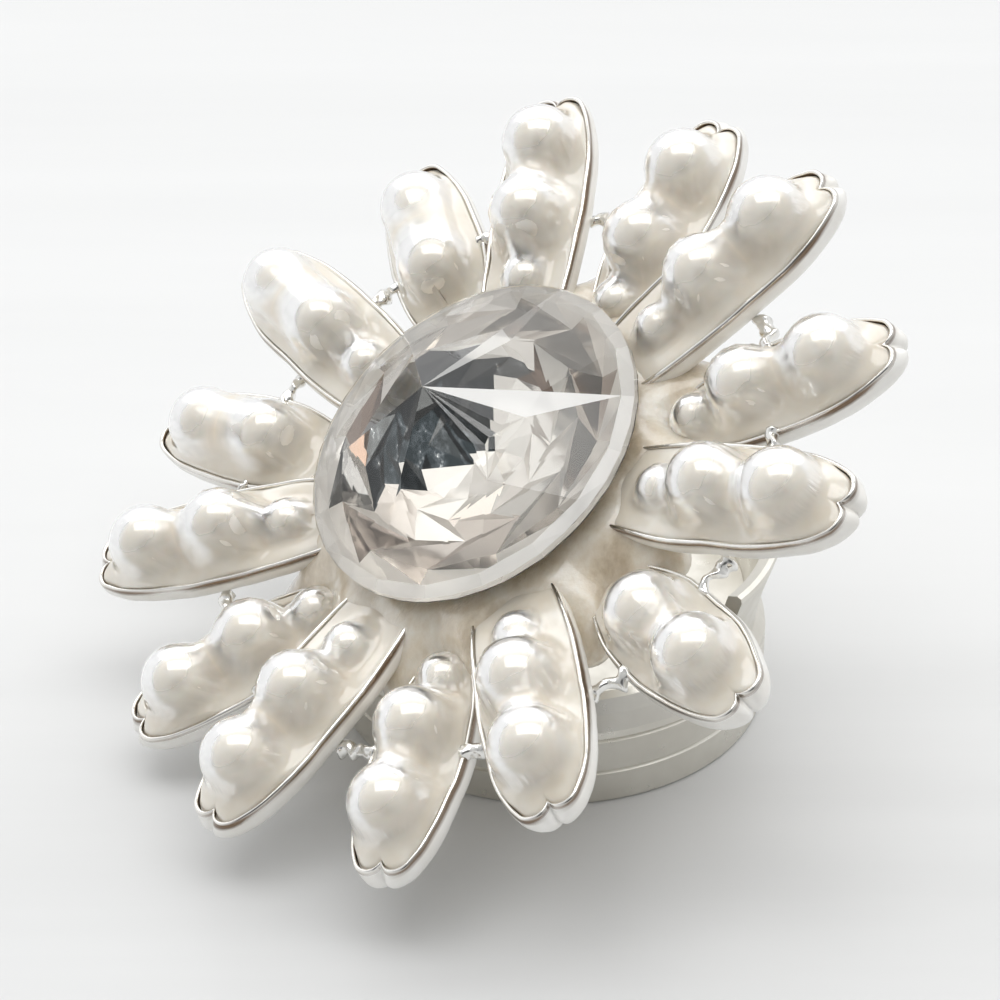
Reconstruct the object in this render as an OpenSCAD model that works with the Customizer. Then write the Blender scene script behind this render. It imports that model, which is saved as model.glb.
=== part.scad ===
// A pearl flower on a small round claw clip.
// The origin is the centre of the clip's round foot, on the surface it stands on. +Z is up, the hinge pin
// lies along Y, and the thumb wing is on the +X side. The flower leans away from the wing.

/* [Flower] */
// Angle between the flower's axis and the vertical
flower_lean = 36.1; // [20:0.1:38]
// Turn of the leaning direction about the vertical, from the -X axis towards -Y
lean_turn = 35.1; // [20:0.1:50]
// Height of the ring of outer pearls, at its centre
flower_height = 17.83; // [17.6:0.01:19]
// Shift of that ring's centre from the clip's axis, along the leaning direction
flower_reach = 6.74; // [6.4:0.01:7]
// The same ring's shift across the leaning direction, towards -Y
flower_side = 1.29; // [1:0.01:1.5]
// Number of petals, in two alternating layers
petals = 14; // [14:2:14]
// Turn of the first petal from the flower's highest point
first_petal = 34.8; // [0:0.1:60]
// How far the lower layer of petals sits below the upper one
layer_drop = 1.6; // [1.5:0.05:2]

/* [Pearls] */
// Diameter of the outer and middle pearls
pearl_d = 4; // [3.6:0.1:4.1]
// Diameter of the inner pearls
small_pearl_d = 2.5; // [2:0.1:2.6]
// Radius of the ring of outer pearls
outer_ring = 19.34; // [19:0.01:20]
// Radius of the ring of middle pearls
middle_ring = 14.98; // [14.8:0.01:15.2]
// Radius of the ring of inner pearls
inner_ring = 11.5; // [11.4:0.1:11.8]

/* [Petal cups] */
// Tilt of a cup's floor, rising outwards
cup_pitch = 6; // [4:0.5:7]
// Widest half-width of a cup
cup_half = 2.85; // [2.75:0.05:3]
// Radius reached by the two lobes at a cup's tip
tip_r = 22.6; // [22.4:0.1:22.9]
// Radius of the notch between the lobes
notch_r = 22.05; // [21.8:0.05:22.2]
// Thickness of a cup's wall
cup_wall = 0.3; // [0.25:0.05:0.4]
// Thickness of a cup's floor
cup_floor = 0.4; // [0.3:0.05:0.5]
// Level of a cup's rim below the outer pearl's centre
rim_level = 0.95; // [0.85:0.05:1.05]
// Overall depth of a cup
cup_depth = 1.9; // [1.85:0.05:1.95]
// Level of the clear resin below the rim
resin_drop = 0.15; // [0.1:0.05:0.3]

/* [Stone] */
// Diameter of the centre stone
stone_d = 18.6; // [17.8:0.1:18.8]
// Height of the stone's pointed front above its girdle
crown_h = 4.8; // [4:0.1:5]
// Thickness of the girdle
girdle_h = 0.5; // [0.3:0.1:0.6]
// Depth of the stone's back below its girdle
pavilion_h = 2.4; // [2:0.1:2.5]
// Level of the girdle's top below the outer pearls' centres
girdle_level = 0.2; // [0:0.1:0.3]
// Offset of the stone from the flower's axis
stone_shift = 0.6; // [0:0.1:0.7]

/* [Clip] */
// Radius of the clip's round foot
foot_r = 11.78; // [11.5:0.01:12]
// Thickness of the jaws' walls
jaw_wall = 1.25; // [1.1:0.05:1.3]
// Height of the deck that closes the jaws' top
deck_h = 6.2; // [6.2:0.05:6.3]
// Thickness of the deck
deck_t = 0.8; // [0.7:0.05:0.82]
// Gap between the closed jaws
jaw_gap = 0.08; // [0.06:0.01:0.12]
// Height of the thumb wing's top
wing_top = 10.2; // [10:0.1:11.2]
// Half the angle that the thumb wing spans
wing_half_angle = 38; // [30:1:40]
// Height of the hinge pin's axis
hinge_z = 7.75; // [7.7:0.01:7.8]
// Diameter of the hinge pin
pin_d = 1.1; // [1:0.05:1.2]
// Diameter of the spring's wire
wire_d = 0.36; // [0.3:0.02:0.4]

/* [Hidden] */

pearl_r = pearl_d / 2;
small_pearl_r = small_pearl_d / 2;
petal_step = 360 / petals;
fit = 0.02;                      // clearance between pieces that are set in each other
far = 40;                        // larger than any piece, for cutting shapes
bezier_steps = 8;

// Petals with no inner pearl: plain resin, or the stone's glue, fills their inner ends
short_petals = [6, 12, 14];

// Levels below the outer pearls' centres, along the flower's axis
cup_bottom = rim_level + cup_depth;
resin_level = rim_level + resin_drop;
small_pearl_drop = 1;
stone_seat = 1.9;                // walls under the stone are cut down to this level
seat_r = stone_d / 2 + 0.55;
upper_hub_r = 8.8;
upper_hub_top = 3.95;
upper_hub_t = 0.6;
lower_hub_r = 9.9;
lower_hub_top = 5.42;
lower_hub_t = 0.7;
foil_t = 0.2;
culet_r = 1.6;
girdle_bottom = girdle_level + girdle_h;
culet_level = girdle_bottom + pavilion_h;
back_slope = pavilion_h / (stone_d / 2 - culet_r);
rivet_r = 0.9;
rivet_head_r = 1.7;
rivet_head_h = 0.3;
pad_r = 5.4;
pad_top = lower_hub_top + lower_hub_t;
pad_t = 1;
post_r = 2.3;
post_x = -4.85;
post_y = -3.2;

// Petal cup outlines, as distances along and across the petal
upper_inner_r = 7.6;
upper_inner_half = 1.9;
lower_inner_r = 9;
lower_inner_half = 0.75;
wide_r = 16;
lobe_half = 1.35;

// The clip
groove_low = 1.95;
groove_high = 3.96;
groove_w = 0.24;
groove_depth = 0.16;
waist_z = 5.2;
waist_r = foot_r - 0.55;
deck_edge_r = foot_r - 1.25;
wing_t = 0.85;
wing_flare = 1.1;
tooth_w = 1.1;
tooth_pitch = 3.6;
tooth_tip_x = 1.4;
tooth_tip_h = 0.7;
tooth_root_h = 1.15;
tooth_root_x = jaw_wall + 0.9;
knuckle_r = 1.3;
knuckle_w = 2.3;
knuckle_gap = 0.15;
coil_half = 2.75;
pin_r = pin_d / 2;
pin_clearance = 0.05;
cap_r = 0.95;
cap_t = 0.45;
fixed_knuckle_y = coil_half + knuckle_w + 3 * knuckle_gap;
thumb_knuckle_y = coil_half + knuckle_gap;
pin_end = fixed_knuckle_y + knuckle_w + knuckle_gap;
coil_turns = 9;
coil_steps = 20;
wire_r = wire_d / 2;
coil_r = pin_r + 0.45 + wire_r;
leg_x = 6.5;
leg_z = deck_h + wire_r + fit;

$fn = 48;

// ---- shared frames and shapes ----

// Places its children in the flower's frame: Z along its axis, X towards its highest point
module in_flower() {
    translate([0, 0, flower_height])
        rotate([0, 0, lean_turn])
        translate([-flower_reach, -flower_side, 0])
        rotate([0, -flower_lean, 0])
        children();
}

// Places its children at petal k, with the outer pearl's centre as origin and X outwards along the cup
module at_petal(k) {
    in_flower()
        rotate([0, 0, first_petal - petal_step * (k - 1)])
        translate([outer_ring, 0, is_upper(k) ? 0 : -layer_drop])
        rotate([0, -cup_pitch, 0])
        children();
}

// Places its children on the stone's own axis, which is a little off the flower's
module at_stone() {
    in_flower()
        rotate([0, 0, first_petal - 1.5 * petal_step])
        translate([stone_shift, 0, 0])
        children();
}

function is_upper(k) = k % 2 == 1;
function has_small_pearl(k) = len(search(k, short_petals)) == 0;

function bezier(p, t) = pow(1 - t, 3) * p[0] + 3 * t * pow(1 - t, 2) * p[1] + 3 * t * t * (1 - t) * p[2]
                        + pow(t, 3) * p[3];
function curve(p) = [for (i = [0 : bezier_steps - 1]) bezier(p, i / bezier_steps)];

// One side of a cup's outline, from its inner end to the notch at its tip
function half_outline(k) =
    let (inner_r = is_upper(k) ? upper_inner_r : lower_inner_r,
         inner_half = is_upper(k) ? upper_inner_half : lower_inner_half,
         swell = is_upper(k) ? 0.93 * cup_half : 0.45 * cup_half)
    concat(curve([[inner_r, inner_half], [inner_r + 1.7, swell], [12.5, 1.02 * cup_half],
                  [wide_r, cup_half]]),
           curve([[wide_r, cup_half], [wide_r + 2.5, cup_half], [tip_r - 1.1, 0.87 * cup_half],
                  [tip_r, lobe_half]]),
           curve([[tip_r, lobe_half], [tip_r + 0.35, 0.7 * lobe_half], [notch_r + 0.6, 0.25 * lobe_half],
                  [notch_r, 0]]));

function mirrored(points) = [for (i = [len(points) - 1 : -1 : 0]) [points[i][0], -points[i][1]]];
function outline(k) = concat(mirrored(half_outline(k)), [for (p = half_outline(k)) p]);

// The same outline moved inwards by a wall's thickness. The points run with the inside on their right.
function inset(points, depth) =
    let (n = len(points))
    [for (i = [0 : n - 1])
        let (along = points[(i + 1) % n] - points[(i + n - 1) % n])
        points[i] + depth * [along[1], -along[0]] / norm(along)];

// A flat shape in a cup's frame, from one depth below the outer pearl's centre up to another
module cup_slab(points, from, to) {
    translate([-outer_ring, 0, -from])
        linear_extrude(height = from - to)
        polygon(points);
}

// The space that the stone's seat takes from the petals' inner ends
module stone_room() {
    at_stone()
        translate([0, 0, -stone_seat])
        cylinder(r = seat_r, h = far);
}

// ---- the flower ----

module petal_cup(k) {
    color("silver")
    difference() {
        at_petal(k)
            difference() {
                cup_slab(outline(k), cup_bottom, rim_level);
                cup_slab(inset(outline(k), cup_wall), cup_bottom - cup_floor, rim_level - 1);
            }
        stone_room();
    }
}

// Ball centres of petal k's pearls and their radii, in the cup's frame
function pearl_places(k) = concat(
    [[0, 0, pearl_r], [(middle_ring - outer_ring) / cos(cup_pitch), 0, pearl_r]],
    has_small_pearl(k)
        ? [[(inner_ring - outer_ring) / cos(cup_pitch), -small_pearl_drop, small_pearl_r]]
        : []);

module pearl_balls(k, grow = 0) {
    for (p = pearl_places(k))
        translate([p[0], 0, p[1]])
            sphere(r = p[2] + grow);
}

module pearls(k) {
    color("ivory")
        at_petal(k)
        pearl_balls(k);
}

module resin(k) {
    color("linen")
    difference() {
        at_petal(k)
            difference() {
                cup_slab(inset(outline(k), cup_wall + fit), cup_bottom - cup_floor - fit, resin_level);
                pearl_balls(k, fit);
            }
        stone_room();
    }
}

// A drop of solder joins each cup to its neighbour, beside the middle pearls
module solder_links() {
    link_ring = 16.2;
    link_r = 0.42;
    link_reach = 0.8;
    link_level = 3.05;
    color("gainsboro")
        in_flower()
        for (k = [1 : petals])
            rotate([0, 0, first_petal - petal_step * (k - 0.5)])
                translate([link_ring, 0, -link_level])
                rotate([90, 0, 0])
                cylinder(r = link_r, h = 2 * link_reach, center = true);
}

// A round plate on the flower's axis, with the rivet's hole
module axis_plate(r, top, thickness) {
    in_flower()
        translate([0, 0, -top - thickness])
        difference() {
            cylinder(r = r, h = thickness);
            translate([0, 0, -1])
                cylinder(r = rivet_r + fit, h = thickness + 2);
        }
}

module upper_hub() {
    color("silver") axis_plate(upper_hub_r, upper_hub_top, upper_hub_t);
}

module lower_hub() {
    color("silver") axis_plate(lower_hub_r, lower_hub_top, lower_hub_t);
}

module hub_spacer() {
    spacer_top = upper_hub_top + upper_hub_t;
    color("silver") axis_plate(4, spacer_top, lower_hub_top - spacer_top);
}

module flower_rivet() {
    tail = pad_top + pad_t;
    color("gainsboro")
        in_flower() {
            translate([0, 0, -tail - rivet_head_h])
                cylinder(r = rivet_r, h = tail + rivet_head_h - upper_hub_top);
            translate([0, 0, -upper_hub_top])
                cylinder(r = rivet_head_r, h = rivet_head_h);
            translate([0, 0, -tail - rivet_head_h])
                cylinder(r = rivet_head_r - 0.3, h = rivet_head_h);
        }
}

// Level of the stone's conical back at a radius r
function stone_back(r) = girdle_bottom + back_slope * (stone_d / 2 - r);

module stone() {
    tip_half = 0.12;
    color("lightcyan")
        at_stone()
        rotate_extrude($fn = 96)
        polygon([[0, -culet_level], [culet_r, -culet_level], [stone_d / 2, -girdle_bottom],
                 [stone_d / 2, -girdle_level], [tip_half, crown_h - girdle_level],
                 [0, crown_h - girdle_level]]);
}

module stone_foil() {
    rim_r = stone_d / 2 - 0.1;
    lip = stone_back(rim_r) + fit;
    color("lightslategray")
        at_stone()
        rotate_extrude($fn = 96)
        polygon([[0, -culet_level - foil_t], [culet_r, -culet_level - foil_t], [rim_r, -lip - foil_t],
                 [rim_r, -lip], [culet_r, -culet_level - fit], [0, -culet_level - fit]]);
}

// The bed of glue between the hub and the foiled back of the stone
module stone_glue() {
    glue_r = 6.8;
    back = foil_t + 2 * fit;
    color("wheat")
        difference() {
            at_stone()
                rotate_extrude()
                polygon([[0, -upper_hub_top + fit], [glue_r, -upper_hub_top + fit],
                         [glue_r, -stone_back(glue_r) - back], [culet_r, -culet_level - back],
                         [0, -culet_level - back]]);
            in_flower()
                translate([0, 0, -upper_hub_top])
                cylinder(r = rivet_head_r + fit, h = rivet_head_h + fit);
        }
}

// ---- the clip ----

// The tilted pad under the flower and the post that carries it on the fixed jaw's deck
module flower_mount() {
    color("silver") {
        axis_plate(pad_r, pad_top, pad_t);
        difference() {
            translate([post_x, post_y, deck_h])
                cylinder(r = post_r, h = far);
            in_flower()
                translate([0, 0, far - pad_top - pad_t])
                cube(2 * far, center = true);
        }
    }
}

function grooved(z) = [[foot_r, z - groove_w / 2], [foot_r - groove_depth, z], [foot_r, z + groove_w / 2]];

// The outline that both jaws share, turned about the clip's axis: a banded wall under a flat deck
module drum() {
    rotate_extrude($fn = 128)
        polygon(concat([[foot_r - jaw_wall, 0], [foot_r - 0.15, 0], [foot_r, 0.15]],
                       grooved(groove_low), grooved(groove_high),
                       [[foot_r - 0.05, groove_high + 0.5], [waist_r, waist_z],
                        [deck_edge_r + 0.35, deck_h - 0.25], [deck_edge_r, deck_h], [0, deck_h],
                        [0, deck_h - deck_t],
                        [foot_r - jaw_wall, deck_h - deck_t]]));
}

// Keeps what is on the side of the split that side names: -1 for the fixed jaw, 1 for the thumb jaw
module half_of(side) {
    intersection() {
        children();
        translate([side * (far + jaw_gap / 2), 0, 0])
            cube(2 * far, center = true);
    }
}

// A grip tooth from a jaw's wall, flush with the foot and reaching past the split
module tooth(side, y) {
    wall_x = sqrt(pow(foot_r - jaw_wall / 2, 2) - y * y);
    mirror([side < 0 ? 1 : 0, 0, 0])
        translate([0, y + tooth_w / 2, 0])
        rotate([90, 0, 0])
        linear_extrude(height = tooth_w)
        polygon([[-tooth_tip_x, 0], [wall_x, 0], [wall_x, tooth_root_h + 0.8],
                 [wall_x - tooth_root_x, tooth_root_h], [-tooth_tip_x + 0.6, tooth_tip_h],
                 [-tooth_tip_x, tooth_tip_h / 2]]);
}

// A hinge knuckle and the web that stands it on its jaw's deck
module knuckle(side, y) {
    web_reach = 2.6;
    translate([0, y + knuckle_w, hinge_z])
        rotate([90, 0, 0])
        difference() {
            union() {
                cylinder(r = knuckle_r, h = knuckle_w);
                mirror([side < 0 ? 1 : 0, 0, 0])
                    linear_extrude(height = knuckle_w)
                    polygon([[0, -knuckle_r], [web_reach, deck_h - hinge_z - 0.3],
                             [web_reach, deck_h - hinge_z], [0.95, 0.88]]);
            }
            translate([0, 0, -1])
                cylinder(r = pin_r + pin_clearance, h = knuckle_w + 2);
        }
}

// Room round a knuckle of the other jaw, cut out of this jaw's deck edge
module knuckle_room(y) {
    translate([0, y + knuckle_w + knuckle_gap, hinge_z])
        rotate([90, 0, 0])
        cylinder(r = knuckle_r + 0.35, h = knuckle_w + 2 * knuckle_gap);
}

// The spring sits over a dip in both decks
module coil_room() {
    translate([0, coil_half + knuckle_gap / 2, hinge_z])
        rotate([90, 0, 0])
        cylinder(r = coil_r + wire_r + 0.3, h = 2 * coil_half + knuckle_gap);
}

module fixed_jaw() {
    color("silver")
    difference() {
        union() {
            half_of(-1) drum();
            for (i = [-2 : 2])
                tooth(-1, i * tooth_pitch);
            knuckle(-1, fixed_knuckle_y);
            knuckle(-1, -fixed_knuckle_y - knuckle_w);
        }
        knuckle_room(thumb_knuckle_y);
        knuckle_room(-thumb_knuckle_y - knuckle_w);
        coil_room();
    }
}

// The flared wing that the thumb presses
module thumb_wing() {
    top_r = waist_r + wing_flare;
    mid_z = (waist_z + wing_top) / 2;
    intersection() {
        rotate_extrude($fn = 128)
            polygon([[waist_r - wing_t, waist_z], [waist_r, waist_z], [waist_r + 0.12, waist_z + 1],
                     [waist_r + 0.4 * wing_flare, mid_z], [top_r, wing_top - 0.35],
                     [top_r - 0.05, wing_top - 0.1], [top_r - 0.3, wing_top], [top_r - wing_t, wing_top - 0.2],
                     [waist_r + 0.4 * wing_flare - wing_t, mid_z]]);
        linear_extrude(height = far)
            polygon([[0, 0], far * [cos(wing_half_angle), -sin(wing_half_angle)], [1.2 * far, 0],
                     far * [cos(wing_half_angle), sin(wing_half_angle)]]);
    }
}

module thumb_jaw() {
    color("silver")
    difference() {
        union() {
            half_of(1) drum();
            thumb_wing();
            for (i = [-1.5 : 1 : 1.5])
                tooth(1, i * tooth_pitch);
            knuckle(1, thumb_knuckle_y);
            knuckle(1, -thumb_knuckle_y - knuckle_w);
        }
        knuckle_room(fixed_knuckle_y);
        knuckle_room(-fixed_knuckle_y - knuckle_w);
        coil_room();
    }
}

// The pin has one formed head; the cap is pressed on its other end
module hinge_pin() {
    color("gainsboro")
        translate([0, pin_end, hinge_z])
        rotate([90, 0, 0]) {
            cylinder(r = pin_r, h = 2 * pin_end + cap_t);
            translate([0, 0, -cap_t])
                cylinder(r = cap_r, h = cap_t);
        }
}

module pin_cap() {
    color("gainsboro")
        translate([0, -pin_end, hinge_z])
        rotate([90, 0, 0])
        difference() {
            cylinder(r = cap_r, h = cap_t);
            translate([0, 0, -1])
                cylinder(r = pin_r, h = cap_t + 2);
        }
}

// A round wire along a path of points
module wire(path) {
    sides = 8;
    n = len(path);
    ring = [for (i = [0 : n - 1])
        let (along = path[min(i + 1, n - 1)] - path[max(i - 1, 0)],
             forward = along / norm(along),
             across = cross(forward, abs(forward[2]) < 0.9 ? [0, 0, 1] : [1, 0, 0]),
             u = across / norm(across),
             v = cross(forward, u))
        [for (s = [0 : sides - 1]) path[i] + wire_r * (cos(360 * s / sides) * u + sin(360 * s / sides) * v)]];
    polyhedron(
        points = [for (r = ring) for (p = r) p],
        faces = concat(
            [[for (s = [0 : sides - 1]) s]],
            [for (i = [0 : n - 2]) for (s = [0 : sides - 1])
                [i * sides + s, (i + 1) * sides + s, (i + 1) * sides + (s + 1) % sides,
                 i * sides + (s + 1) % sides]],
            [[for (s = [sides - 1 : -1 : 0]) (n - 1) * sides + s]]));
}

// A point of the coil, t turns from its start, which is straight below the pin
function coil_point(t) = [coil_r * sin(360 * t),
                          coil_half - wire_r - t * (2 * coil_half - 2 * wire_r) / coil_turns,
                          hinge_z - coil_r * cos(360 * t)];

module spring_coil() {
    start = coil_point(0);
    color("darkgray")
        wire(concat([[-leg_x, start[1], leg_z], [-coil_r - 0.4, start[1], leg_z],
                     [-0.5 * coil_r, start[1], (leg_z + start[2]) / 2]],
                    [for (i = [0 : coil_turns * coil_steps]) coil_point(i / coil_steps)]));
}

// The spring's other leg, which lies on the thumb jaw's deck and moves with it
module spring_leg() {
    y = wire_r - coil_half;
    color("darkgray")
        wire([[coil_r + wire_r + 0.15, y, leg_z], [leg_x, y, leg_z], [leg_x + 0.5, y, leg_z]]);
}

petal_cup(1);  // petal_cup_01
petal_cup(2);  // petal_cup_02
petal_cup(3);  // petal_cup_03
petal_cup(4);  // petal_cup_04
petal_cup(5);  // petal_cup_05
petal_cup(6);  // petal_cup_06
petal_cup(7);  // petal_cup_07
petal_cup(8);  // petal_cup_08
petal_cup(9);  // petal_cup_09
petal_cup(10);  // petal_cup_10
petal_cup(11);  // petal_cup_11
petal_cup(12);  // petal_cup_12
petal_cup(13);  // petal_cup_13
petal_cup(14);  // petal_cup_14
resin(1);  // resin_01
resin(2);  // resin_02
resin(3);  // resin_03
resin(4);  // resin_04
resin(5);  // resin_05
resin(6);  // resin_06
resin(7);  // resin_07
resin(8);  // resin_08
resin(9);  // resin_09
resin(10);  // resin_10
resin(11);  // resin_11
resin(12);  // resin_12
resin(13);  // resin_13
resin(14);  // resin_14
pearls(1);  // pearls_01
pearls(2);  // pearls_02
pearls(3);  // pearls_03
pearls(4);  // pearls_04
pearls(5);  // pearls_05
pearls(6);  // pearls_06
pearls(7);  // pearls_07
pearls(8);  // pearls_08
pearls(9);  // pearls_09
pearls(10);  // pearls_10
pearls(11);  // pearls_11
pearls(12);  // pearls_12
pearls(13);  // pearls_13
pearls(14);  // pearls_14
solder_links();
upper_hub();
lower_hub();
hub_spacer();
flower_rivet();
stone();
stone_foil();
stone_glue();
flower_mount();
fixed_jaw();
thumb_jaw();
hinge_pin();
pin_cap();
spring_coil();
spring_leg();
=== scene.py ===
"""Looks for a pearl flower hair clip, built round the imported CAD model.

Shapes are drawn in millimetres and placed through MM. Other lengths are in metres.
"""
import math
import random

import bpy
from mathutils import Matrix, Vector, noise


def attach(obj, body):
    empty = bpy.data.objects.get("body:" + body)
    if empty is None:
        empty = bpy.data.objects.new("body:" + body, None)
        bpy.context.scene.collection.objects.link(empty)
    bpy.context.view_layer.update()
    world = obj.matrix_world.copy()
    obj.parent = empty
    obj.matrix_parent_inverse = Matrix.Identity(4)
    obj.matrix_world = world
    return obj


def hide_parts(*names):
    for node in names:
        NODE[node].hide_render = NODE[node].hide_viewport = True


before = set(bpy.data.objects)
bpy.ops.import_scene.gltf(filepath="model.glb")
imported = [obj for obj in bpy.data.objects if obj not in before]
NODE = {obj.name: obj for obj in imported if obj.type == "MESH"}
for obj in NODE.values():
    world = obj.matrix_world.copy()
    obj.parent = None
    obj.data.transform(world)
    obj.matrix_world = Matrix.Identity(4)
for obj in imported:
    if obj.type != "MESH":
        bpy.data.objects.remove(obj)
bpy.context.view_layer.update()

MM = 0.001
FLOWER = "flower_body"
PETALS = 14
LAYER = PETALS // 2       # petals in each of the flower's two layers


# ---------------------------------------------------------------- numbers and mesh helpers

def clamp(value):
    """The value, kept between 0 and 1."""
    return min(1.0, max(0.0, value))


def smoothstep(t):
    return t * t * (3 - 2 * t)


def add_object(name, verts, faces, material, body, smooth=True):
    """A mesh piece in the frame, riding on a body."""
    mesh = bpy.data.meshes.new(name)
    mesh.from_pydata([tuple(v) for v in verts], [], faces)
    mesh.update()
    if smooth:
        mesh.shade_smooth()
    else:
        mesh.shade_flat()
    obj = bpy.data.objects.new(name, mesh)
    bpy.context.scene.collection.objects.link(obj)
    obj.data.materials.append(material)
    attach(obj, body)
    return obj


def loft(rings):
    """Vertices and quads of a surface through closed rings that all have the same number of points."""
    count = len(rings[0])
    verts = [p for ring in rings for p in ring]
    faces = []
    for r in range(len(rings) - 1):
        a, b = r * count, (r + 1) * count
        for i in range(count):
            j = (i + 1) % count
            faces.append((a + i, a + j, b + j, b + i))
    return verts, faces


def add_part(verts, faces, part):
    """Adds one more separate surface to the lists of a mesh."""
    part_verts, part_faces = part
    faces += [tuple(v + len(verts) for v in face) for face in part_faces]
    verts += part_verts


def set_values(obj, domain, name, values):
    """A number on each vertex (POINT) or face (FACE), which a material reads with an Attribute node."""
    obj.data.attributes.new(name, "FLOAT", domain).data.foreach_set("value", values)


def bezier(p, steps):
    """Points along one cubic stretch, without its last point."""
    out = []
    for i in range(steps):
        t = i / steps
        w = ((1 - t) ** 3, 3 * t * (1 - t) ** 2, 3 * t * t * (1 - t), t ** 3)
        out.append(tuple(sum(w[k] * p[k][a] for k in range(4)) for a in range(2)))
    return out


# ---------------------------------------------------------------- the flower's frame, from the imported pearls

def islands(obj):
    """Centre and half-width of each separate solid in a node."""
    mesh = obj.data
    parent = list(range(len(mesh.vertices)))

    def root(i):
        while parent[i] != i:
            parent[i] = parent[parent[i]]
            i = parent[i]
        return i

    def place(vertex):
        return tuple(round(c, 7) for c in vertex.co)

    for edge in mesh.edges:
        parent[root(edge.vertices[0])] = root(edge.vertices[1])
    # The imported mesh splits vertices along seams, so those that share a place belong to one solid
    places = {place(v): root(v.index) for v in mesh.vertices}
    for v in mesh.vertices:
        parent[root(v.index)] = root(places[place(v)])
    joined = {}
    for v in mesh.vertices:
        joined.setdefault(root(v.index), []).append(v.co.copy())
    solids = []
    for points in joined.values():
        low = Vector([min(p[a] for p in points) for a in range(3)])
        high = Vector([max(p[a] for p in points) for a in range(3)])
        solids.append(((low + high) / 2, (high - low).x / 2))
    return solids


BALLS = {k: islands(NODE[f"pearls_{k:02d}"]) for k in range(1, PETALS + 1)}
BALL_CENTRES = [centre for balls in BALLS.values() for centre, _ in balls]
MIDDLE = sum(BALL_CENTRES, Vector()) / len(BALL_CENTRES)


def outer_centre(k):
    """Centre of petal k's outermost pearl."""
    return max((centre for centre, _ in BALLS[k]), key=lambda centre: (centre - MIDDLE).length)


UPPER = [outer_centre(k) for k in range(1, PETALS + 1, 2)]
CENTRE = sum(UPPER, Vector()) / LAYER
SPOKES = [point - CENTRE for point in UPPER]
AXIS = sum((SPOKES[(i + 1) % LAYER].cross(SPOKES[i]) for i in range(LAYER)), Vector()).normalized()
OUTER_RING = SPOKES[0].length


class Petal:
    """The frame of one petal: x outwards along its cup, y across, z out of the flower."""

    def __init__(self, k):
        self.k = k
        self.upper = k % 2 == 1
        self.balls = sorted(BALLS[k], key=lambda ball: -(ball[0] - CENTRE).length)
        self.origin = self.balls[0][0]
        self.x = (self.origin - self.balls[1][0]).normalized()
        self.y = AXIS.cross(self.x).normalized()
        self.z = self.x.cross(self.y)
        self.seed = random.Random(100 + k).uniform(0, 50)

    def place(self, x, y, z):
        """A point given in mm: x from the flower's axis, z above the outer pearl's centre."""
        return self.origin + self.x * (x * MM - OUTER_RING) + self.y * (y * MM) + self.z * (z * MM)

    def local(self, point):
        """The way back: a point of the scene, in the petal's millimetres."""
        d = point - self.origin
        return Vector(((d.dot(self.x) + OUTER_RING) / MM, d.dot(self.y) / MM, d.dot(self.z) / MM))


PETAL = {k: Petal(k) for k in range(1, PETALS + 1)}


# ---------------------------------------------------------------- materials

class Shader:
    """Small helper that builds a node tree round one Principled BSDF."""

    def __init__(self, name, **values):
        self.material = bpy.data.materials.new(name)
        self.material.use_nodes = True
        self.nodes = self.material.node_tree.nodes
        self.links = self.material.node_tree.links
        self.bsdf = self.nodes["Principled BSDF"]
        for key, value in values.items():
            self.bsdf.inputs[key.replace("_", " ")].default_value = value

    def node(self, kind, **settings):
        made = self.nodes.new(kind)
        for key, value in settings.items():
            setattr(made, key, value)
        return made

    def link(self, a, b):
        self.links.new(a, b)

    def feed(self, socket, source):
        """Links a source to one of the shader's own sockets."""
        self.link(source, self.bsdf.inputs[socket])

    def coords(self, scale=(1, 1, 1)):
        where = self.node("ShaderNodeTexCoord")
        mapping = self.node("ShaderNodeMapping")
        mapping.inputs["Scale"].default_value = scale
        self.link(where.outputs["Object"], mapping.inputs["Vector"])
        return mapping.outputs["Vector"]

    def noise(self, scale, detail=4.0, roughness=0.5, stretch=(1, 1, 1)):
        tex = self.node("ShaderNodeTexNoise")
        tex.inputs["Scale"].default_value = scale
        tex.inputs["Detail"].default_value = detail
        tex.inputs["Roughness"].default_value = roughness
        self.link(self.coords(stretch), tex.inputs["Vector"])
        return tex.outputs["Fac"]

    def ramp(self, source, stops):
        ramp = self.node("ShaderNodeValToRGB")
        elements = ramp.color_ramp.elements
        while len(elements) < len(stops):
            elements.new(0.5)
        for element, (position, colour) in zip(elements, stops):
            element.position = position
            element.color = (*colour, 1)
        self.link(source, ramp.inputs["Fac"])
        return ramp.outputs["Color"]

    def range(self, source, low, high, from_low=0.0, from_high=1.0):
        node = self.node("ShaderNodeMapRange")
        node.inputs["From Min"].default_value = from_low
        node.inputs["From Max"].default_value = from_high
        node.inputs["To Min"].default_value = low
        node.inputs["To Max"].default_value = high
        self.link(source, node.inputs["Value"])
        return node.outputs["Result"]

    def mix(self, factor, a, b, blend="MIX"):
        """Mixes two colours. Each input is a plain value or another node's output."""
        mix = self.node("ShaderNodeMix", data_type="RGBA", blend_type=blend)
        for socket, value in ((mix.inputs["Factor"], factor), (mix.inputs["A"], a), (mix.inputs["B"], b)):
            if isinstance(value, float):
                socket.default_value = value
            elif isinstance(value, tuple):
                socket.default_value = (*value, 1)
            else:
                self.link(value, socket)
        return mix.outputs["Result"]

    def attribute(self, name):
        return self.node("ShaderNodeAttribute", attribute_name=name).outputs["Fac"]

    def bump(self, height, strength, distance, normal=None):
        bump = self.node("ShaderNodeBump")
        bump.inputs["Strength"].default_value = strength
        bump.inputs["Distance"].default_value = distance
        self.link(height, bump.inputs["Height"])
        if normal is not None:
            self.link(normal, bump.inputs["Normal"])
        self.feed("Normal", bump.outputs["Normal"])
        return bump.outputs["Normal"]


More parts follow.
